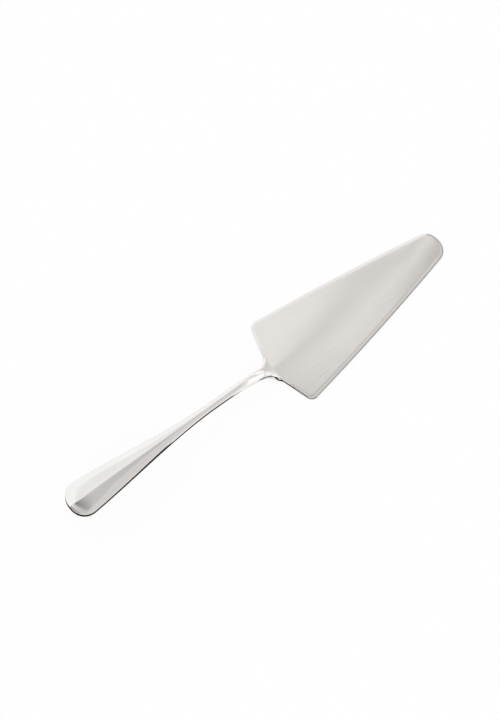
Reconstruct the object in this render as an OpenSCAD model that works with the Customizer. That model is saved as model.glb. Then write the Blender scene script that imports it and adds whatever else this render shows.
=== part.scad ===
// Cake server in stainless steel: a flat tapered blade, a forged handle whose neck climbs from the
// blade to a ridged grip, and the butt weld that joins the two across the root of the neck.
// Millimetres. +X points to the tip of the blade and +Z up. The underside of the blade lies on
// Z = 0, and the origin is below the middle of the whole server.

/* [Blade] */
// Length of the blade from the weld seam to the front of its tip
blade_l = 111; // [90:0.2:140]
// Width across the shoulders, to their corners before rounding
blade_w = 52.4; // [40:0.2:70]
// Thickness of the blade sheet
blade_t = 2.6; // [1.6:0.1:3.2]
// Angle by which the shoulders lean toward the tip
shoulder_lean = 16.5; // [10:0.5:25]
// Radius of the shoulder corners
corner_r = 4; // [3:0.5:8]
// Outward bow of each long side
side_bow = 0.9; // [0.3:0.1:2]
// Width across the corners of the tip, before rounding
tip_w = 15.8; // [12:0.2:20]
// Distance that the front of the tip stands out from those corners
tip_bulge = 3.2; // [2:0.1:5]
// Radius of the two corners of the tip
tip_r = 7; // [4:0.5:8]
// Width of the round along the top edge of the sheet
edge_w = 2.2; // [0.8:0.1:2.8]

/* [Weld seam] */
// Width of the weld seam, along the server
seam_w = 1; // [0.6:0.1:2]
// Width of the neck where it meets the seam
root_w = 17.4; // [12:0.2:24]

/* [Neck] */
// Width of the neck where its flare toward the seam begins
neck_w = 6.1; // [4:0.1:8]
// Length of that flare, along the neck
flare_l = 10.4; // [6:0.2:14]
// Steepest climb of the neck
neck_angle = 47; // [30:1:60]
// Radius of the bend where the neck leaves the blade
neck_bend_r = 1.8; // [1.6:0.1:6]
// Length of the straight climb of the neck
neck_climb_l = 6; // [2:0.2:15]
// Radius of the long bend from that climb over to the stem
crest_r = 44; // [25:0.5:60]

/* [Handle] */
// Length of the handle along the server, from the seam to its end
handle_l = 128; // [100:0.2:160]
// Climb of the stem and grip
handle_angle = 11; // [4:0.5:18]
// Length along the handle from the seam to the waist of the stem
waist_l = 45; // [35:0.5:60]
// Width of the stem at its waist
stem_w = 4.4; // [3:0.1:6]
// Thickness of the neck and stem
stem_t = 4.2; // [3:0.1:6]
// Length over which the stem spreads into the grip
spread_l = 100; // [80:1:130]
// Width that the grip spreads to
grip_w = 20; // [15:0.5:26]
// Thickness of the grip along its edges
grip_t = 3.4; // [2:0.1:5]
// Height of the ridge above the edges of the grip
ridge_h = 1.3; // [0.5:0.1:3]
// Length of the rounded end of the grip
end_l = 9.5; // [5:0.5:14]
// Distance that the end of the grip bends down
end_fall = 1; // [0.2:0.1:2]
// Length over which it bends down
end_fall_l = 25; // [15:1:40]

/* [Hidden] */

blade_colour = [0.84, 0.83, 0.82];
handle_colour = [0.91, 0.91, 0.91];
seam_colour = [0.78, 0.77, 0.76];

// How round the sides of a handle section are: 0 is square and 0.5 is an ellipse
root_round_share = 0.06;
stem_round_share = 0.46;
grip_round_share = 0.08;
// Powers of the curves that round the end of the grip: in plan, along its side and down its ridge
end_plan_power = 2.1;
end_side_power = 8;
end_ridge_power = 5;
// Share that the flats of the grip are crowned from the ridge out to the sides
facet_crown_share = 0.25;
// Shares of the round's width and of the sheet left upright below it: shoulders, then sides and tip
shoulder_edge_shares = [0.6, 0.75];
side_edge_shares = [1, 0.2];
// Share of the shoulder along which the edge round grows from nothing at the seam
edge_start_share = 0.4;

// Counts of steps along the curves
corner_steps = 8;
side_steps = 10;
tip_steps = 10;
front_steps = 5;
edge_steps = 5;
ring_sides = 32;
root_steps = 14;
neck_steps = 14;
grip_steps = 26;
end_steps = 9;

// Reach of a cut past the surface that it leaves
overrun = 1;

overall_l = handle_l + seam_w + blade_l;
// The plane where the neck meets the seam. Lengths along the blade count forward from here.
seam_x = handle_l - overall_l / 2;
seam_front_w = root_w + 2 * seam_w / tan(shoulder_lean);
tip_x = seam_w + blade_l;

// The long side of the blade is a wide arc from the shoulder corner to the corner of the tip
shoulder_corner = [tan(shoulder_lean) * (blade_w - root_w) / 2, blade_w / 2];
tip_corner = [tip_x - tip_bulge, tip_w / 2];
side_chord = tip_corner - shoulder_corner;
side_out = [-side_chord.y, side_chord.x] / norm(side_chord);
side_r = arc_radius(norm(side_chord), side_bow);
side_centre = (shoulder_corner + tip_corner) / 2 - side_out * (side_r - side_bow);

// The front of the tip is an arc through both tip corners, and round corners join it to the sides.
// They can grow until they meet on the middle line.
front_r = arc_radius(tip_w, tip_bulge);
front_centre = [tip_x - front_r, 0];
to_tip = [tip_x, 0] - side_centre;
tip_r_limit = (side_r * side_r - to_tip * to_tip) / (2 * (side_r - to_tip.x));
tip_round_r = min(tip_r, tip_r_limit, front_r);
tip_centre = forward_crossing(side_centre, side_r - tip_round_r, front_centre, front_r - tip_round_r);
corner_centre = along_shoulder(corner_r, side_centre, side_r - corner_r);

shoulder_heading = 180 - shoulder_lean;
side_start_heading = heading(corner_centre - side_centre);
side_end_heading = heading(tip_centre - side_centre);
front_heading = heading(tip_centre - front_centre);
corner_start = corner_centre + corner_r * [cos(shoulder_heading), sin(shoulder_heading)];
edge_start = blend([seam_w, seam_front_w / 2], corner_start, edge_start_share);

// The middle line of the handle: a bend, a straight climb, a crest and the long straight grip.
// Places on it are given by their length from the seam.
bend_end_l = neck_bend_r * neck_angle * PI / 180;
climb_end_l = bend_end_l + neck_climb_l;
crest_end_l = climb_end_l + crest_r * (neck_angle - handle_angle) * PI / 180;
bend_end = neck_bend_r * [sin(neck_angle), 1 - cos(neck_angle)];
climb_end = bend_end + neck_climb_l * [cos(neck_angle), sin(neck_angle)];
crest_end = climb_end
    + crest_r * [sin(neck_angle) - sin(handle_angle), cos(handle_angle) - cos(neck_angle)];
handle_end_l = crest_end_l + (handle_l - crest_end.x) / cos(handle_angle);

// The neck flares on part of an ellipse that runs out along the shoulders. The last height is the
// share of the ellipse's half width that is left at the seam.
flare_w = (root_w - neck_w) / 2;
last_height_share = flare_w / (flare_l / tan(shoulder_lean) - flare_w);
flare_half_w = flare_w / (1 - last_height_share);
flare_half_l = flare_l / sqrt(1 - last_height_share * last_height_share);

function blend(a, b, share) = a + (b - a) * share;
function within(share) = min(max(share, 0), 1);
function ease(share) = within(share) * within(share) * (3 - 2 * within(share));
function heading(v) = atan2(v.y, v.x);

// Radius of an arc with this chord and this rise at its middle
function arc_radius(chord, rise) = chord * chord / (8 * rise) + rise / 2;

// Height of a rounded outline, 1 in the middle and 0 where the share across it reaches 1
function round_off(share, power) = pow(1 - pow(abs(share), power), 1 / power);

// The crossing of two circles that lies further forward
function forward_crossing(a, radius_a, b, radius_b) =
    let (
        gap = norm(b - a),
        axis = (b - a) / gap,
        along = (radius_a * radius_a - radius_b * radius_b + gap * gap) / (2 * gap),
        across = sqrt(max(0, radius_a * radius_a - along * along))
    )
    a + axis * along + across * [axis.y, -axis.x];

// A point this far inside the shoulder line and this far from a centre, on the outer side
function along_shoulder(inside, centre, distance) =
    let (
        run = [sin(shoulder_lean), cos(shoulder_lean)],
        start = [0, root_w / 2] + inside * [cos(shoulder_lean), -sin(shoulder_lean)],
        offset = start - centre,
        reach = offset * run
    )
    start + run * (sqrt(reach * reach - offset * offset + distance * distance) - reach);

// Points of a blade arc, each with its outward heading and its edge shares
function edge_arc(centre, radius, from, to, steps, first, shares_from, shares_to) =
    [for (i = [first : steps])
        let (
            turn = blend(from, to, i / steps),
            shares = blend(shares_from, shares_to, i / steps)
        )
        [centre.x + radius * cos(turn), centre.y + radius * sin(turn), turn, shares[0], shares[1]]];

// One half of the blade's outline, from the seam round to the middle of the tip
function half_outline() = concat(
    [[seam_w, seam_front_w / 2, shoulder_heading, 0, shoulder_edge_shares[1]]],
    [concat([edge_start.x, edge_start.y, shoulder_heading], shoulder_edge_shares)],
    edge_arc(corner_centre, corner_r, shoulder_heading, side_start_heading, corner_steps, 0,
        shoulder_edge_shares, side_edge_shares),
    edge_arc(side_centre, side_r, side_start_heading, side_end_heading, side_steps, 1,
        side_edge_shares, side_edge_shares),
    edge_arc(tip_centre, tip_round_r, side_end_heading, front_heading, tip_steps, 1,
        side_edge_shares, side_edge_shares),
    edge_arc(front_centre, front_r, front_heading, 0, front_steps, 1,
        side_edge_shares, side_edge_shares)
);

function outline() =
    let (half = half_outline())
    concat(half, [for (i = [len(half) - 2 : -1 : 0])
        [half[i].x, -half[i].y, -half[i][2], half[i][3], half[i][4]]]);

// The outline drawn in and lifted to this turn of the edge round: 0 at the rim and 90 at the top
function edge_ring(turn) =
    [for (p = outline())
        let (
            inset = edge_w * p[3] * (1 - cos(turn)),
            height = blade_t * blend(p[4], 1, sin(turn))
        )
        [seam_x + p.x - inset * cos(p[2]), p.y - inset * sin(p[2]), height]];

function climb(at) =
    at < bend_end_l ? neck_angle * at / bend_end_l :
    at < climb_end_l ? neck_angle :
    at < crest_end_l ? blend(neck_angle, handle_angle, (at - climb_end_l) / (crest_end_l - climb_end_l)) :
    handle_angle;

// Distance behind the seam and height of the handle's middle line
function middle(at) =
    at < bend_end_l ? neck_bend_r * [sin(climb(at)), 1 - cos(climb(at))] :
    at < climb_end_l ? bend_end + (at - bend_end_l) * [cos(neck_angle), sin(neck_angle)] :
    at < crest_end_l ?
        climb_end + crest_r * [sin(neck_angle) - sin(climb(at)), cos(climb(at)) - cos(neck_angle)] :
    crest_end + (at - crest_end_l) * [cos(handle_angle), sin(handle_angle)];

// Shares of the way along the flare, from the stem to the grip and round the end
function flare_share(at) = ease(at / flare_l);
function grip_share(at) = ease((at - waist_l) / spread_l);
function end_share(at) = within((at - handle_end_l + end_l) / end_l);

// A measure of the section that changes along the flare to its value at the stem, then to the grip's
function along_handle(root, stem, grip, at) =
    blend(blend(root, stem, flare_share(at)), grip, grip_share(at));

function half_width(at) =
    let (
        to_root = max(0, flare_l - at),
        flare = flare_half_w * (1 - round_off(to_root / flare_half_l, 2)),
        neck_share = within((waist_l - at) / (waist_l - flare_l)),
        neck = (neck_w - stem_w) / 2 * neck_share * neck_share,
        grip = (grip_w - stem_w) / 2 * grip_share(at)
    )
    (stem_w / 2 + neck + flare + grip) * round_off(end_share(at), end_plan_power);

// A section square to the handle's middle line, with the ridge on its upper side
function handle_ring(at) =
    let (
        end_height = round_off(end_share(at), end_side_power),
        half_height = along_handle(blade_t, stem_t, grip_t, at) / 2 * end_height,
        ridge = ridge_h * grip_share(at) * round_off(end_share(at), end_ridge_power),
        fall_share = within((at - handle_end_l + end_fall_l) / end_fall_l),
        power = 1 / along_handle(root_round_share, stem_round_share, grip_round_share, at),
        width = half_width(at),
        place = middle(at) - [0, end_fall * fall_share * fall_share],
        tilt = climb(at) - atan(2 * end_fall * fall_share / end_fall_l)
    )
    [for (i = [0 : ring_sides - 1])
        let (
            turn = 360 * i / ring_sides,
            side = cos(turn),
            slab_share = round_off(side, power),
            ridge_share = 1 - abs(side) * (1 - facet_crown_share * (1 - abs(side))),
            rise = sin(turn) < 0 ?
                -half_height * slab_share :
                half_height * slab_share + ridge * ridge_share
        )
        [seam_x - place.x + rise * sin(tilt), width * side, blade_t / 2 + place.y + rise * cos(tilt)]];

// Places of the sections: close together in the flare and round the end
handle_places = concat(
    [for (i = [0 : root_steps - 1])
        flare_l - flare_half_l * sin(acos(last_height_share) * (1 - i / root_steps))],
    [for (i = [0 : neck_steps - 1]) blend(flare_l, crest_end_l, i / neck_steps)],
    [for (i = [0 : grip_steps - 1]) blend(crest_end_l, handle_end_l - end_l, i / grip_steps)],
    [for (i = [0 : end_steps]) handle_end_l - end_l + end_l * sin(90 * i / (end_steps + 1 / 2))]
);

// A closed skin over a row of rings that have the same number of points
module skin(rings) {
    sides = len(rings[0]);
    last = len(rings) - 1;
    points = [for (ring = rings) each ring];
    walls = [for (k = [0 : last - 1], i = [0 : sides - 1])
        let (
            a = k * sides + i,
            b = k * sides + (i + 1) % sides,
            c = b + sides,
            d = a + sides
        )
        each [[a, b, c], [a, c, d]]];
    first_cap = [for (i = [sides - 1 : -1 : 0]) i];
    last_cap = [for (i = [0 : sides - 1]) last * sides + i];
    polyhedron(points, concat([first_cap], walls, [last_cap]));
}

// Sheet blade: an upright rim that is thick along the shoulders and thin along the sides and the tip,
// below a rounded top edge. Its underside is ground flat.
module blade() {
    foot = [for (p = outline()) [seam_x + p.x, p.y, -overrun]];
    color(blade_colour)
        difference() {
            skin(concat([foot], [for (i = [0 : edge_steps]) edge_ring(90 * i / edge_steps)]));
            translate([seam_x, -blade_w / 2, -2 * overrun])
                cube([tip_x + overrun, blade_w, 2 * overrun]);
        }
}

// Forged handle in one piece, from the flat root of its neck to the rounded end of the grip
module handle() {
    color(handle_colour)
        skin([for (at = handle_places) handle_ring(at)]);
}

// Butt weld through the full thickness, ground flush, between the neck and the blade
module weld_seam() {
    color(seam_colour)
        translate([seam_x, 0, 0])
            linear_extrude(blade_t)
                polygon([
                    [0, -root_w / 2],
                    [seam_w, -seam_front_w / 2],
                    [seam_w, seam_front_w / 2],
                    [0, root_w / 2]]);
}

blade();
handle();
weld_seam();
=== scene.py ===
from math import atan2, cos, pi, radians, sin, sqrt, tan, tau

import bpy
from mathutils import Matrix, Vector


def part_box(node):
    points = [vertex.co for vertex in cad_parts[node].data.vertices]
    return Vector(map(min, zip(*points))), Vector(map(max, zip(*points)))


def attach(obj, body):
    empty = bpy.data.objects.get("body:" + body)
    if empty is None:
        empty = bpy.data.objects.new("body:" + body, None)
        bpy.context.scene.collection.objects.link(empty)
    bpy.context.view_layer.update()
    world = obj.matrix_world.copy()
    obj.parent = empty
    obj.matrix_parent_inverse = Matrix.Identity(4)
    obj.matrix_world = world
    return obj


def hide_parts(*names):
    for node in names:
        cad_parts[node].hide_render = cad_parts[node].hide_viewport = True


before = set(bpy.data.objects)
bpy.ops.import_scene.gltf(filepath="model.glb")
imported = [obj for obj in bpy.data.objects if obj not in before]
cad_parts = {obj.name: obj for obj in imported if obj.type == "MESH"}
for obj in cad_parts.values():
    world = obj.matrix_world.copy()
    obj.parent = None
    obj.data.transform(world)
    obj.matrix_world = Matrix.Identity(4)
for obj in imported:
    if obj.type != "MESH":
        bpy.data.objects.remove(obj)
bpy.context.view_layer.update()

# Blade: a flat tapered plate cut from stainless sheet, with sloping shoulders, bowed long sides and
# a blunt round tip. Grinding leaves a soft ridge that fans out from the neck, the top edge is rounded
# over, and both faces are brushed lengthwise to a fine satin.
blade_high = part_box("blade")[1]
seam_low, seam_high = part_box("weld_seam")
seam_back_x = seam_low.x
seam_front_x = seam_high.x
sheet_t = blade_high.z
tip_x = blade_high.x
root_w = 0.0174
shoulder_w = 0.0524
shoulder_lean = radians(16.5)
corner_r = 0.004
side_bow = 0.0009
tip_w = 0.0158
tip_bulge = 0.0032
tip_r = 0.007
under_break = 0.0002
ridge_slope = 0.025
ridge_start_w = 0.0008
ridge_fan = 0.25
tip_fall = 0.0008
tip_fall_l = 0.018
tip_crown = 0.0002
tip_crown_l = 0.045

# An edge is two shares: how much of edge_w its round takes, and how much of the sheet stays upright
# below the round. Along the shoulders the round grows from nothing over the first stretch.
edge_w = 0.0022
side_edge = Vector((1, 0.2))
shoulder_edge = Vector((0.8, 0.55))
edge_start_share = 0.2

shoulder_steps = 30
corner_steps = 20
side_steps = 90
tip_steps = 36
front_steps = 18
break_steps = 3
round_steps = 14
top_steps = 60


def ease(share):
    share = min(max(share, 0), 1)
    return share * share * (3 - 2 * share)


def arc_radius(chord, rise):
    return chord * chord / (8 * rise) + rise / 2


def heading(arrow):
    return atan2(arrow.y, arrow.x)


def pointing(angle):
    return Vector((cos(angle), sin(angle)))


def forward_crossing(a, radius_a, b, radius_b):
    """The crossing of two circles that lies nearer the tip."""
    gap = (b - a).length
    axis = (b - a) / gap
    along = (radius_a ** 2 - radius_b ** 2 + gap ** 2) / (2 * gap)
    across = sqrt(max(0, radius_a ** 2 - along ** 2))
    return a + axis * along + across * Vector((axis.y, -axis.x))


# The long side is a wide arc between the shoulder corner and the corner of the tip
shoulder_corner = Vector((seam_back_x + tan(shoulder_lean) * (shoulder_w - root_w) / 2, shoulder_w / 2))
tip_corner = Vector((tip_x - tip_bulge, tip_w / 2))
chord = tip_corner - shoulder_corner
side_out = Vector((-chord.y, chord.x)).normalized()
side_r = arc_radius(chord.length, side_bow)
side_centre = (shoulder_corner + tip_corner) / 2 - side_out * (side_r - side_bow)

# The front is an arc through both tip corners, joined to the sides by round corners
front_r = arc_radius(tip_w, tip_bulge)
front_centre = Vector((tip_x - front_r, 0))
to_tip = Vector((tip_x, 0)) - side_centre
tip_r_limit = (side_r ** 2 - to_tip.length_squared) / (2 * (side_r - to_tip.x))
tip_round_r = min(tip_r, tip_r_limit, front_r)
tip_centre = forward_crossing(side_centre, side_r - tip_round_r, front_centre, front_r - tip_round_r)

# The shoulder corner's round touches the shoulder line and the long side
shoulder_run = Vector((sin(shoulder_lean), cos(shoulder_lean)))
shoulder_in = Vector((cos(shoulder_lean), -sin(shoulder_lean)))
shoulder_foot = Vector((seam_back_x, root_w / 2)) + corner_r * shoulder_in
foot_offset = shoulder_foot - side_centre
foot_reach = foot_offset.dot(shoulder_run)
corner_reach = sqrt(foot_reach ** 2 - foot_offset.length_squared + (side_r - corner_r) ** 2) - foot_reach
corner_centre = shoulder_foot + shoulder_run * corner_reach

shoulder_heading = pi - shoulder_lean
side_start = heading(corner_centre - side_centre)
side_end = heading(tip_centre - side_centre)
front_start = heading(tip_centre - front_centre)
seam_front_w = root_w + 2 * (seam_front_x - seam_back_x) / tan(shoulder_lean)


def edge_arc(centre, radius, start, end, steps, first_edge=side_edge):
    """Points along an arc of the blade's rim after its first, each with its heading and its edge."""
    stations = []
    for i in range(1, steps + 1):
        turn = start + (end - start) * i / steps
        edge = first_edge.lerp(side_edge, ease(i / steps))
        stations.append((centre + radius * pointing(turn), turn, edge))
    return stations


# The rim of the left half, from the weld round to the tip: each place with its heading and its edge
seam_corner = Vector((seam_front_x, seam_front_w / 2))
corner_start = corner_centre + corner_r * pointing(shoulder_heading)
half_outline = []
for i in range(shoulder_steps + 1):
    share = i / shoulder_steps
    edge = shoulder_edge * Vector((ease(share / edge_start_share), 1))
    half_outline.append((seam_corner.lerp(corner_start, share), shoulder_heading, edge))
half_outline += edge_arc(corner_centre, corner_r, shoulder_heading, side_start, corner_steps, shoulder_edge)
half_outline += edge_arc(side_centre, side_r, side_start, side_end, side_steps)
half_outline += edge_arc(tip_centre, tip_round_r, side_end, front_start, tip_steps)
half_outline += edge_arc(front_centre, front_r, front_start, 0, front_steps)


def blade_top(x, y):
    """Height of the upper face, which falls away gently from its ridge and to the tip."""
    ridge_w = ridge_start_w + ridge_fan * max(0, x - seam_front_x)
    fall = ridge_slope * (sqrt(y * y + ridge_w * ridge_w) - ridge_w)
    fall += tip_fall * max(0, 1 - (tip_x - x) / tip_fall_l) ** 2
    fall += tip_crown * (2 * y / tip_w) ** 2 * ease(1 - (tip_x - x) / tip_crown_l)
    return sheet_t - fall


def blade_ring(place, outward, edge):
    """One section across the blade, from the left of its underside over the top to the right."""
    edge_share, rim_share = edge
    rim = rim_share * sheet_t
    inner = place - edge_w * edge_share * pointing(outward)
    top = blade_top(inner.x, inner.y)
    turns = [i / break_steps * pi / 2 for i in range(break_steps + 1)]
    profile = [(under_break * (1 - sin(turn)), under_break * (1 - cos(turn))) for turn in turns]
    turns = [i / round_steps * pi / 2 for i in range(round_steps + 1)]
    profile += [(edge_w * (1 - cos(turn)), rim + (top - rim) * sin(turn)) for turn in turns]
    side = []
    for inset, height in profile:
        point = place - inset * edge_share * pointing(outward)
        side.append(Vector((point.x, point.y, height)))
    ys = [inner.y * (1 - 2 * i / top_steps) for i in range(1, top_steps)]
    across = [Vector((inner.x, y, blade_top(inner.x, y))) for y in ys]
    return side + across + [p * Vector((1, -1, 1)) for p in reversed(side)]


def shape(name, points, faces):
    """An object of the scene with these points and faces."""
    mesh = bpy.data.meshes.new(name)
    mesh.from_pydata(points, [], faces)
    made = bpy.data.objects.new(name, mesh)
    bpy.context.scene.collection.objects.link(made)
    return made


sharp_angle = radians(50)


def make_plain(piece):
    """Turns the piece and its modifiers into a plain mesh, smooth but for its sharp edges."""
    plain = bpy.data.meshes.new_from_object(piece.evaluated_get(bpy.context.evaluated_depsgraph_get()))
    piece.modifiers.clear()
    piece.data = plain
    plain.shade_smooth()
    plain.set_sharp_from_angle(angle=sharp_angle)


merge_gap = 1e-6


def skin(name, rings):
    """A closed mesh over a row of rings that have the same number of points."""
    count = len(rings[0])
    points = [p for ring in rings for p in ring]
    faces = [tuple(range(count - 1, -1, -1))]
    for k in range(len(rings) - 1):
        for i in range(count):
            a = k * count + i
            b = k * count + (i + 1) % count
            faces.append((a, b, b + count, a + count))
    faces.append(tuple((len(rings) - 1) * count + i for i in range(count)))
    piece = shape(name, points, faces)
    merge = piece.modifiers.new("merge", "WELD")
    merge.merge_threshold = merge_gap
    make_plain(piece)
    return piece


def mark_edges(piece):
    """Notes on each point how steep the surface is there: 0 on a flat, 1 on an upright edge."""
    steep = piece.data.attributes.new("steepness", "FLOAT", "POINT")
    steep.data.foreach_set("value", [1 - abs(v.normal.z) for v in piece.data.vertices])


blade = skin("blade_sheet", [blade_ring(*station) for station in half_outline])
mark_edges(blade)


def new_material(name):
    made = bpy.data.materials.new(name)
    made.use_nodes = True
    return made


def add(material, kind, values={}, wires={}, **settings):
    """A node of the material, with its inputs set or wired."""
    made = material.node_tree.nodes.new(kind)
    for name, value in settings.items():
        setattr(made, name, value)
    for name, value in values.items():
        made.inputs[name].default_value = value
    for name, wire in wires.items():
        material.node_tree.links.new(wire, made.inputs[name])
    return made


def steepness(material):
    """The steepness that mark_edges notes on a piece."""
    return add(material, "ShaderNodeAttribute", attribute_name="steepness").outputs["Fac"]


def marks(material, per_metre, detail, turn=0):
    """Noise with this many marks a metre each way, as an abrasive leaves it."""
    place = add(material, "ShaderNodeTexCoord")
    drawn = add(material, "ShaderNodeMapping", {"Rotation": (0, 0, turn), "Scale": per_metre},
                {"Vector": place.outputs["Object"]})
    noise = add(material, "ShaderNodeTexNoise", {"Scale": 1, "Detail": detail}, {"Vector": drawn.outputs[0]})
    return noise.outputs[0]


def spread(material, wire, found, wanted):
    """The wire's values between the two that are found, spread over the two that are wanted."""
    values = {"From Min": found[0], "From Max": found[1], "To Min": wanted[0], "To Max": wanted[1]}
    return add(material, "ShaderNodeMapRange", values, {"Value": wire}).outputs[0]


def together(material, a, b, operation="ADD"):
    return add(material, "ShaderNodeMath", wires={0: a, 1: b}, operation=operation).outputs[0]


def shades(material, wire, stops):
    """A row of colours that the wire picks from, each with its place."""
    row = add(material, "ShaderNodeValToRGB", wires={0: wire})
    while len(row.color_ramp.elements) < len(stops):
        row.color_ramp.elements.new(1)
    for stop, (place, colour) in zip(row.color_ramp.elements, stops):
        stop.position = place
        stop.color = (*colour, 1)
    return row.outputs["Color"]


def blended(material, a, b, share):
    return add(material, "ShaderNodeMix", wires={0: share, 6: a, 7: b}, data_type="RGBA").outputs[2]


def steel_coat(material, colour, roughness, height, depth):
    """Bare steel: its colour, its gloss and the fine marks in its surface."""
    relief = add(material, "ShaderNodeBump", {"Strength": 1, "Distance": depth}, {"Height": height})
    coat = material.node_tree.nodes["Principled BSDF"]
    coat.inputs["Metallic"].default_value = 1
    material.node_tree.links.new(colour, coat.inputs["Base Color"])
    material.node_tree.links.new(roughness, coat.inputs["Roughness"])
    material.node_tree.links.new(relief.outputs[0], coat.inputs["Normal"])


round_steepness = (0.005, 0.1)
rim_steepness = (0.55, 0.85)
noise_middle = (0.3, 0.7)
scratch_level = (0.68, 0.76)
satin_roughness = 0.12
round_roughness = 0.08
rim_roughening = 0.15
brush_roughening = 0.025
scratch_roughening = 0.08
brush_depth = 2e-6
satin_tones = [(0.35, (0.815, 0.806, 0.797)), (0.65, (0.845, 0.837, 0.829))]
# The darker tones of the steep rims are partly a less polished ground edge and partly painted shade, which
# darkens every steep round and upright edge.
rim_and_shade_tones = [(0.3, (0.55, 0.542, 0.535)), (0.7, (0.64, 0.632, 0.625))]

satin = new_material("satin_steel")
steep = steepness(satin)
brushing = marks(satin, per_metre=(60, 3000, 3000), detail=3)
pressure = marks(satin, per_metre=(25, 60, 60), detail=2)
scratches = marks(satin, per_metre=(40, 1400, 1400), detail=1, turn=radians(24))
face_rough = spread(satin, steep, round_steepness, (satin_roughness, round_roughness))
rim_rough = spread(satin, steep, rim_steepness, (0, rim_roughening))
brush_rough = spread(satin, brushing, noise_middle, (-brush_roughening, brush_roughening))
scratch_rough = spread(satin, scratches, scratch_level, (0, scratch_roughening))
form_rough = together(satin, face_rough, rim_rough)
marks_rough = together(satin, brush_rough, scratch_rough)
satin_rough = together(satin, form_rough, marks_rough)
flat_colour = shades(satin, pressure, satin_tones)
# Steep rounds and upright edges take the darker rim colour: in part painted shade for the dark lines along
# the edges.
rim_and_shade_colour = shades(satin, brushing, rim_and_shade_tones)
rim_share = spread(satin, steep, rim_steepness, (0, 1))
satin_colour = blended(satin, flat_colour, rim_and_shade_colour, rim_share)
steel_coat(satin, satin_colour, satin_rough, brushing, brush_depth)
blade.data.materials.append(satin)
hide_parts("blade")
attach(blade, "root")

# Weld seam: the butt weld that joins the forged neck to the sheet through its full thickness. It is
# ground flush across its length and polished over, which leaves a faint hollow at the root of the neck.
seam_hollow = 0.000012
seam_break = 0.0001
seam_steps = 12
seam_across = 40


def seam_ring(share):
    """One section across the weld, at a share of the way from its back to its front."""
    x = seam_back_x + (seam_front_x - seam_back_x) * share
    half_w = (root_w + (seam_front_w - root_w) * share) / 2
    flat_w = half_w - seam_break
    hollow = seam_hollow * sin(pi * share) ** 2
    side = [(flat_w, 0), (half_w, seam_break), (half_w, blade_top(x, half_w) - hollow - seam_break)]
    left = [Vector((x, y, z)) for y, z in side]
    right = [Vector((x, -y, z)) for y, z in reversed(side)]
    across = [flat_w * (1 - 2 * i / seam_across) for i in range(seam_across + 1)]
    return left + [Vector((x, y, blade_top(x, y) - hollow)) for y in across] + right


seam = skin("weld_bead", [seam_ring(i / seam_steps) for i in range(seam_steps + 1)])
weld_roughness = (0.12, 0.2)
weld_depth = 2e-6
weld_tones = [(0.35, (0.805, 0.795, 0.785)), (0.65, (0.845, 0.837, 0.829))]
weld = new_material("weld_steel")
grinding = marks(weld, per_metre=(3000, 80, 3000), detail=3)
heat = marks(weld, per_metre=(300, 200, 300), detail=2)
weld_colour = shades(weld, heat, weld_tones)
weld_rough = spread(weld, grinding, noise_middle, weld_roughness)
steel_coat(weld, weld_colour, weld_rough, grinding, weld_depth)
seam.data.materials.append(weld)
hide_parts("weld_seam")
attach(seam, "root")

# Handle: one drop forging in the same steel. Its flat root flares out to the blade, a round neck
# climbs away from it, and the stem spreads into a flat grip with a low ridge along its top and a
# rounded end. It is buffed to a mirror.
handle_sizes = {
    "Sheet thickness": sheet_t,
    "Seam place": seam_back_x,
    "Root width": root_w,
    "Root ridge slope": ridge_slope,
    "Root ridge width": ridge_start_w,
    "Shoulder lean": shoulder_lean,
    "Neck width": 0.0061,
    "Flare length": 0.0104,
    "Neck angle": radians(47),
    "Bend radius": 0.0018,
    "Climb length": 0.006,
    "Crest radius": 0.044,
    "Handle length": 0.128,
    "Handle angle": radians(11),
    "Waist length": 0.045,
    "Stem width": 0.0044,
    "Stem thickness": 0.0042,
    "Spread length": 0.1,
    "Grip width": 0.02,
    "Grip thickness": 0.0034,
    "Ridge height": 0.0013,
    "End fall": 0.001,
    "End fall length": 0.025,
    "Ridge softness": 0.03,
    "Facet crown": 0.25,
    "End length": 0.0095,
    "Root roundness": 0.06,
    "Stem roundness": 0.46,
    "Grip roundness": 0.08,
    "End plan squareness": 2.1,
    "End side squareness": 8,
    "End ridge squareness": 5,
    "Row crowding": 0.97,
}
net_side = 1
handle_rows = 300
handle_columns = 240

forging = bpy.data.node_groups.new("forged_handle", "GeometryNodeTree")
forging.interface.new_socket("Geometry", in_out="OUTPUT", socket_type="NodeSocketGeometry")
handle_inputs = {}
for name in handle_sizes:
    handle_inputs[name] = forging.interface.new_socket(name, in_out="INPUT", socket_type="NodeSocketFloat")
steel_input = forging.interface.new_socket("Steel", in_out="INPUT", socket_type="NodeSocketMaterial")
given = forging.nodes.new("NodeGroupInput")


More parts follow.
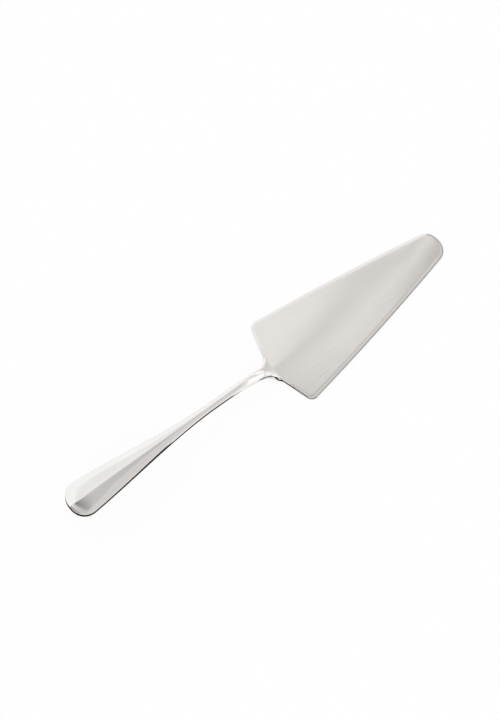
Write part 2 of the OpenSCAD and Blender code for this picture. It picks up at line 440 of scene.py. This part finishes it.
class Measure:
    """A size worked out inside the node tree: each sum written here becomes a Math node."""

    def __init__(self, socket):
        self.socket = socket

    def sum(self, operation, *terms):
        node = forging.nodes.new("ShaderNodeMath")
        node.operation = operation
        for place, term in zip(node.inputs, terms):
            if isinstance(term, Measure):
                forging.links.new(term.socket, place)
            else:
                place.default_value = term
        return Measure(node.outputs[0])

    def __add__(self, other):
        return self.sum("ADD", self, other)

    def __sub__(self, other):
        return self.sum("SUBTRACT", self, other)

    def __rsub__(self, other):
        return self.sum("SUBTRACT", other, self)

    def __mul__(self, other):
        return self.sum("MULTIPLY", self, other)

    def __truediv__(self, other):
        return self.sum("DIVIDE", self, other)

    def __rtruediv__(self, other):
        return self.sum("DIVIDE", other, self)

    def __pow__(self, other):
        return self.sum("POWER", self, other)

    def least(self, other):
        return self.sum("MINIMUM", self, other)

    def most(self, other):
        return self.sum("MAXIMUM", self, other)

    def over(self, other):
        return self.sum("GREATER_THAN", self, other)

    def unsigned(self):
        return self.sum("ABSOLUTE", self)

    def root(self):
        return self.sum("SQRT", self)

    def sine(self):
        return self.sum("SINE", self)

    def cosine(self):
        return self.sum("COSINE", self)

    def tangent(self):
        return self.sum("TANGENT", self)

    def within(self):
        return self.most(0).least(1)

    def eased(self):
        share = self.within()
        return share * share * (3 - share * 2)

    def rounded(self, squareness):
        return (1 - self.within() ** squareness).most(0) ** (1 / squareness)

    def to(self, other, share):
        return self + (other - self) * share


size = {name: Measure(given.outputs[name]) for name in handle_sizes}
net = forging.nodes.new("GeometryNodeMeshGrid")
net.inputs["Size X"].default_value = net_side
net.inputs["Size Y"].default_value = net_side
net.inputs["Vertices X"].default_value = handle_rows
net.inputs["Vertices Y"].default_value = handle_columns
net_place = forging.nodes.new("GeometryNodeInputPosition")
split = forging.nodes.new("ShaderNodeSeparateXYZ")
forging.links.new(net_place.outputs[0], split.inputs[0])

# The net's X runs along the handle and its Y round the section. The first and last rows close the
# ends, so they share their place with the rows beside them.
row_step = 1 / (handle_rows - 1)
row = Measure(split.outputs["X"]) + net_side / 2
open_row = row.over(row_step / 2) * (1 - row.over(1 - row_step / 2))
along = ((row - row_step) / (1 - 2 * row_step)).within()
along = along - (along * tau).sine() * size["Row crowding"] / tau

# The middle line: a bend, a straight climb, a crest and the long straight grip
bend_r = size["Bend radius"]
climb_l = size["Climb length"]
crest_r = size["Crest radius"]
neck_angle = size["Neck angle"]
handle_angle = size["Handle angle"]
bend_l = bend_r * neck_angle
crest_l = crest_r * (neck_angle - handle_angle)
crest_end_x = (
    bend_r * neck_angle.sine()
    + climb_l * neck_angle.cosine()
    + crest_r * (neck_angle.sine() - handle_angle.sine())
)
grip_l = (size["Handle length"] - crest_end_x) / handle_angle.cosine()
handle_l = bend_l + climb_l + crest_l + grip_l
at = along * handle_l
bend_tilt = at.least(bend_l) / bend_r
climb_at = (at - bend_l).most(0).least(climb_l)
crest_tilt = neck_angle - (at - bend_l - climb_l).most(0).least(crest_l) / crest_r
grip_at = (at - bend_l - climb_l - crest_l).most(0)
tilt = bend_tilt - (neck_angle - crest_tilt)
back = (
    bend_r * bend_tilt.sine()
    + climb_at * neck_angle.cosine()
    + crest_r * (neck_angle.sine() - crest_tilt.sine())
    + grip_at * handle_angle.cosine()
)
climb = (
    bend_r * (1 - bend_tilt.cosine())
    + climb_at * neck_angle.sine()
    + crest_r * (crest_tilt.cosine() - neck_angle.cosine())
    + grip_at * handle_angle.sine()
)

# The end of the grip bends down a little
end_fall_share = ((at - handle_l) / size["End fall length"] + 1).within()
climb = climb - size["End fall"] * end_fall_share * end_fall_share
tilt = tilt - size["End fall"] * end_fall_share * 2 / size["End fall length"]

# Widths: the flare is part of an ellipse that runs out along the shoulders
flare_l = size["Flare length"]
waist_l = size["Waist length"]
neck_w = size["Neck width"]
stem_w = size["Stem width"]
flare_share = (at / flare_l).eased()
grip_share = ((at - waist_l) / size["Spread length"]).eased()
end_share = (at - handle_l + size["End length"]) / size["End length"]
flare_w = (size["Root width"] - neck_w) / 2
last_share = flare_w / (flare_l / size["Shoulder lean"].tangent() - flare_w)
flare_half_w = flare_w / (1 - last_share)
flare_half_l = flare_l / (1 - last_share * last_share).root()
flare = flare_half_w * (1 - ((flare_l - at).most(0) / flare_half_l).rounded(2))
neck_share = ((waist_l - at) / (waist_l - flare_l)).within()
neck = (neck_w - stem_w) / 2 * neck_share * neck_share
grip = (size["Grip width"] - stem_w) / 2 * grip_share
half_w = (stem_w / 2 + neck + flare + grip) * end_share.rounded(size["End plan squareness"])

# The section: a rounded slab with the ridge on its upper side
turn = (Measure(split.outputs["Y"]) + net_side / 2) * tau
side = turn.cosine()
stem_t = size["Sheet thickness"].to(size["Stem thickness"], flare_share)
half_h = stem_t.to(size["Grip thickness"], grip_share) / 2
stem_roundness = size["Root roundness"].to(size["Stem roundness"], flare_share)
roundness = stem_roundness.to(size["Grip roundness"], grip_share)
slab_share = side.unsigned().rounded(1 / roundness)
body = half_h * end_share.rounded(size["End side squareness"]) * slab_share
across = half_w * side
root_ridge_w = size["Root ridge width"]
ridge_reach = (across * across + root_ridge_w * root_ridge_w).root() - root_ridge_w
root_fall = size["Root ridge slope"] * ridge_reach * (1 - flare_share) * slab_share
soft_side = (side * side + size["Ridge softness"] * size["Ridge softness"]).root()
facet = (1 - soft_side * (1 - size["Facet crown"] * (1 - soft_side))).most(0)
ridge = size["Ridge height"] * grip_share * end_share.rounded(size["End ridge squareness"]) * facet
upper = turn.sine().over(0)
rise = (body * (upper * 2 - 1) + (ridge - root_fall) * upper) * open_row

surface = forging.nodes.new("ShaderNodeCombineXYZ")
for axis, measure in {
    "X": size["Seam place"] - back + rise * tilt.sine(),
    "Y": across * open_row,
    "Z": size["Sheet thickness"] / 2 + climb + rise * tilt.cosine(),
}.items():
    forging.links.new(measure.socket, surface.inputs[axis])

shaped = forging.nodes.new("GeometryNodeSetPosition")
closed = forging.nodes.new("GeometryNodeMergeByDistance")
closed.inputs["Distance"].default_value = merge_gap
real = forging.nodes.new("GeometryNodeRealizeInstances")
coated = forging.nodes.new("GeometryNodeSetMaterial")
done = forging.nodes.new("NodeGroupOutput")
forging.links.new(net.outputs["Mesh"], shaped.inputs["Geometry"])
forging.links.new(surface.outputs[0], shaped.inputs["Position"])
forging.links.new(shaped.outputs[0], closed.inputs["Geometry"])
forging.links.new(closed.outputs[0], real.inputs[0])
forging.links.new(real.outputs[0], coated.inputs["Geometry"])
forging.links.new(given.outputs["Steel"], coated.inputs["Material"])
forging.links.new(coated.outputs[0], done.inputs["Geometry"])

satin_run_l = 0.008
side_steepness = (0.6, 0.9)
nick_level = (0.7, 0.78)
mirror_roughness = 0.045
root_roughness = 0.13
polish_roughening = (-0.01, 0.015)
nick_roughening = 0.05
side_roughening = 0.06
buff_depth = 4e-7
mirror_tones = [(0.35, (0.885, 0.88, 0.875)), (0.65, (0.91, 0.905, 0.90))]

mirror = new_material("mirror_steel")
steep = steepness(mirror)
place = add(mirror, "ShaderNodeTexCoord")
along_x = add(mirror, "ShaderNodeSeparateXYZ", wires={0: place.outputs["Object"]}).outputs["X"]
buffing = marks(mirror, per_metre=(70, 2600, 2600), detail=3)
polish = marks(mirror, per_metre=(40, 110, 110), detail=2)
nicks = marks(mirror, per_metre=(55, 1500, 1500), detail=1, turn=radians(-17))
satin_run = (seam_back_x - satin_run_l, seam_back_x)
root_rough = spread(mirror, along_x, satin_run, (mirror_roughness, root_roughness))
polish_rough = spread(mirror, polish, noise_middle, polish_roughening)
nick_rough = spread(mirror, nicks, nick_level, (0, nick_roughening))
side_rough = spread(mirror, steep, side_steepness, (0, side_roughening))
face_rough = together(mirror, root_rough, polish_rough)
edge_rough = together(mirror, nick_rough, side_rough)
mirror_rough = together(mirror, face_rough, edge_rough)
face_colour = shades(mirror, polish, mirror_tones)
# The handle's steep sides take the darker rim colour: partly a less polished edge, partly painted shade for
# the dark lines along them.
side_and_shade_colour = shades(mirror, buffing, rim_and_shade_tones)
side_share = spread(mirror, steep, side_steepness, (0, 1))
mirror_colour = blended(mirror, face_colour, side_and_shade_colour, side_share)
steel_coat(mirror, mirror_colour, mirror_rough, buffing, buff_depth)

handle = shape("handle_forging", [], [])
forge = handle.modifiers.new("forge", "NODES")
forge.node_group = forging
for name, value in handle_sizes.items():
    forge[handle_inputs[name].identifier] = float(value)
forge[steel_input.identifier] = mirror
make_plain(handle)
mark_edges(handle)
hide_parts("handle")
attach(handle, "root")

# Floor: a plain sheet of white paper that the server lies on. It is pale enough to run into the
# background, and it keeps a trace of the server's shadow.
floor_side = 6
floor_corners = [(x * floor_side / 2, y * floor_side / 2, 0) for x, y in ((-1, -1), (1, -1), (1, 1), (-1, 1))]
paper_white = (0.97, 0.97, 0.97, 1)
paper_glow = 0.88


def cover(material, shader):
    """Makes the shader all there is on the material's surface."""
    nodes = material.node_tree.nodes
    nodes.remove(nodes["Principled BSDF"])
    material.node_tree.links.new(shader.outputs[0], nodes["Material Output"].inputs["Surface"])


white = new_material("white_floor")
matt = add(white, "ShaderNodeBsdfDiffuse", {"Color": paper_white})
glow = add(white, "ShaderNodeEmission", {"Strength": 1})
rays = add(white, "ShaderNodeLightPath").outputs
seen = together(white, rays["Is Camera Ray"], rays["Is Glossy Ray"], "MAXIMUM")
seen = together(white, seen, rays["Is Transmission Ray"], "MAXIMUM")
glow_share = spread(white, seen, (0, 1), (0, paper_glow))
cover(white, add(white, "ShaderNodeMixShader", wires={0: glow_share, 1: matt.outputs[0], 2: glow.outputs[0]}))
floor = shape("floor", floor_corners, [(0, 1, 2, 3)])
floor.data.materials.append(white)

# Light: an even white studio, with no lamp of its own. The light comes from all round, so the paper
# stays white and the server throws only a faint shadow.
world = bpy.data.worlds.new("studio")
bpy.context.scene.world = world
world.use_nodes = True
sky = world.node_tree.nodes["Background"]
sky.inputs["Color"].default_value = (1, 1, 1, 1)
sky.inputs["Strength"].default_value = 1

# Light tent: an arch of white cloth along the server, darker overhead than on the far side, with one
# soft dark spot and a brighter end past the tip. Only polished metal shows it.
tent_r = 0.9
tent_l = 6
tent_steps = 64
skew_from_x = 0.227
skew_back_l = 0.4
skew_share = 0.16
bright_end_x = (1, 2)
bright_end = 1.5
spot_place = (0.1, 0.005, 0.9)
spot_reach = (0.01, 0.14)
spot_dark = 0.32
white_cloth = Vector((1, 1, 0.995))
warm_cloth = Vector((1.02, 0.99, 0.965))
white_shades = [(0, 1.0), (0.336, 1.0), (0.345, 0.9), (0.36, 0.88)]
warm_shades = [(0.40, 0.92), (0.417, 0.92), (0.436, 0.66), (0.454, 0.92), (0.468, 0.78), (0.49, 0.62),
               (0.515, 0.57), (0.53, 0.61), (0.548, 0.73), (0.565, 0.66), (0.62, 0.70), (0.78, 0.72),
               (0.88, 0.8), (1, 0.95)]


def only_in_metal(thing):
    """Keeps the thing out of the picture and out of the light, so that only polished metal shows it."""
    thing.visible_camera = False
    thing.visible_diffuse = False
    thing.visible_shadow = False


fabric = new_material("tent_fabric")
where = add(fabric, "ShaderNodeTexCoord").outputs["Object"]
apart = add(fabric, "ShaderNodeSeparateXYZ", wires={0: where}).outputs
arch_angle = together(fabric, apart["Z"], apart["Y"], "ARCTAN2")
arch_share = spread(fabric, arch_angle, (0, pi), (0, 1))
skew_x = (skew_from_x - skew_back_l, skew_from_x + tent_l)
skew = spread(fabric, apart["X"], skew_x, (-skew_share * skew_back_l, skew_share * tent_l))
stops = [(place, white_cloth * grey) for place, grey in white_shades]
stops += [(place, warm_cloth * grey) for place, grey in warm_shades]
cloth = shades(fabric, together(fabric, arch_share, skew), stops)
end_light = spread(fabric, apart["X"], bright_end_x, (1, bright_end))
from_spot = add(fabric, "ShaderNodeVectorMath", {1: spot_place}, {0: where}, operation="DISTANCE")
spot_light = spread(fabric, from_spot.outputs["Value"], spot_reach, (spot_dark, 1))
light = together(fabric, end_light, spot_light, "MULTIPLY")
cover(fabric, add(fabric, "ShaderNodeEmission", wires={"Color": cloth, "Strength": light}))

arch = [tent_r * pointing(pi * i / tent_steps) for i in range(tent_steps + 1)]
tent_points = [(x * tent_l / 2, *point) for point in arch for x in (-1, 1)]
tent_faces = [(2 * i, 2 * i + 1, 2 * i + 3, 2 * i + 2) for i in range(tent_steps)]
tent = shape("light_tent", tent_points, tent_faces)
tent.data.materials.append(fabric)
only_in_metal(tent)

# Cards: paper that stands round the server, which only polished metal shows. Black on the near side and
# close beside the grip draws the dark lines of the near edges, a bright one and greys tone the rounds,
# and low grey strips run along the blade's rim.
card_steps = 48
card_lift = 0.002
black = 0.03
grip_side = [(Vector((-0.2, -0.028)), 0), (Vector((-0.045, -0.036)), 0)]
grip_card_lift = 0.0001
grip_card_h = 0.045
strip_gap = 0.002
strip_heights = (0.0003, 0.0017, 0.003, 0.0045)
strip_start = shoulder_steps + 8
strip_past_tip = 35
tip_strip_stations = 90


def glowing(name, grey):
    """Paper that shines with an even grey."""
    made = new_material(name)
    cover(made, add(made, "ShaderNodeEmission", {"Color": (grey, grey, grey, 1), "Strength": 1}))
    return made


def round_about(start, end):
    """Stations round the middle of the server, from one direction in degrees to another."""
    return [(Vector((0, 0)), radians(start + (end - start) * i / card_steps)) for i in range(card_steps + 1)]


def card(name, stations, profile, grey):
    """Paper along stations of a place and a heading, with how far out and how high its folds are."""
    count = len(profile)
    points = [(*(place + out * pointing(turn)), z) for place, turn in stations for out, z in profile]
    faces = []
    for i in range(len(stations) - 1):
        for k in range(i * count, i * count + count - 1):
            faces.append((k, k + 1, k + count + 1, k + count))
    made = shape(name, points, faces)
    made.data.materials.append(glowing(name, grey))
    only_in_metal(made)


card("black_card", round_about(-195, -92), [(0.25, card_lift), (0.7, card_lift), (0.7, 0.15)], grey=black)
card("lamp_card", round_about(-38, -4), [(0.6, card_lift), (0.6, 0.3)], grey=1.2)
card("back_card", round_about(-202, -150), [(0.7, 0.4), (0.6, 0.6), (0.4, 0.78)], grey=0.4)
card("far_card", round_about(10, 40), [(0.6, 0.05), (0.6, 0.25)], grey=0.8)
card("grip_card", grip_side, [(0, grip_card_lift), (0, grip_card_h)], grey=black)
strip = [(place * Vector((1, -1)), -turn) for place, turn, edge in half_outline[strip_start:]]
strip += [(place, turn) for place, turn, edge in half_outline[:-strip_past_tip - 1:-1]]
strip_folds = [(strip_gap, height) for height in strip_heights]
card("edge_card", strip, strip_folds[0:2], grey=0.42)
card("edge_card", strip, strip_folds[1:3], grey=0.5)
card("tip_card", strip[-tip_strip_stations:], strip_folds[2:4], grey=0.6)

# Shade: what the server throws on the floor of the near side, which its upright edges show. One patch
# lies below the handle, one under the root of the neck, and a thin line runs along the blade's edge.
shade_height = 0.0001
line_w = 0.002
corner_end = shoulder_steps + corner_steps
handle_shade = ((-0.2, 0.06), (-0.008, 0.012), (-0.012, -0.005), (-0.0125, -0.012),
                (-0.0125, -0.027), (-0.003, -0.06), (0.003, -0.14), (-0.2, -0.14))
root_shade = ((0.0047, -0.003), (0.0047, -0.009), (0.0022, -0.0105), (0.0022, -0.0137),
              (0.005, -0.0155), (0.0115, -0.0165), (0.0115, -0.003))


def edge_line(stations):
    """The corners of a line along the near edge of the blade."""
    line = [place for place, outward, edge in stations]
    line += [place + line_w * pointing(outward) for place, outward, edge in reversed(stations)]
    return [place * Vector((1, -1)) for place in line]


def floor_shade(name, corners, grey):
    shade = shape(name, [(*corner, shade_height) for corner in corners], [tuple(range(len(corners)))])
    shade.data.materials.append(glowing(name, grey))
    only_in_metal(shade)


floor_shade("handle_shade", handle_shade, grey=black)
floor_shade("root_shade", root_shade, grey=black)
floor_shade("shoulder_shade", edge_line(half_outline[:corner_end]), grey=black)
floor_shade("side_shade", edge_line(half_outline[corner_end:]), grey=0.6)

# Camera: about a metre above the near side, looking down steeply on the server, which lies slantwise
# across an upright picture with white all round it.
view_azimuth = radians(-38.8)
view_elevation = radians(74.5)
view_target = Vector((0.0019, 0.01145, 0))
view_distance = 1.013
focal_length_mm = 98
film_w_mm = 36
lens = bpy.data.cameras.new("camera")
lens.lens = focal_length_mm
lens.sensor_width = film_w_mm
camera = bpy.data.objects.new("camera", lens)
view_ground = cos(view_elevation)
to_camera = Vector((sin(view_azimuth) * view_ground, -cos(view_azimuth) * view_ground, sin(view_elevation)))
camera.location = view_target + to_camera * view_distance
camera.rotation_euler = (-to_camera).to_track_quat("-Z", "Y").to_euler()
bpy.context.scene.collection.objects.link(camera)
bpy.context.scene.camera = camera
bpy.context.scene.view_settings.view_transform = "Standard"
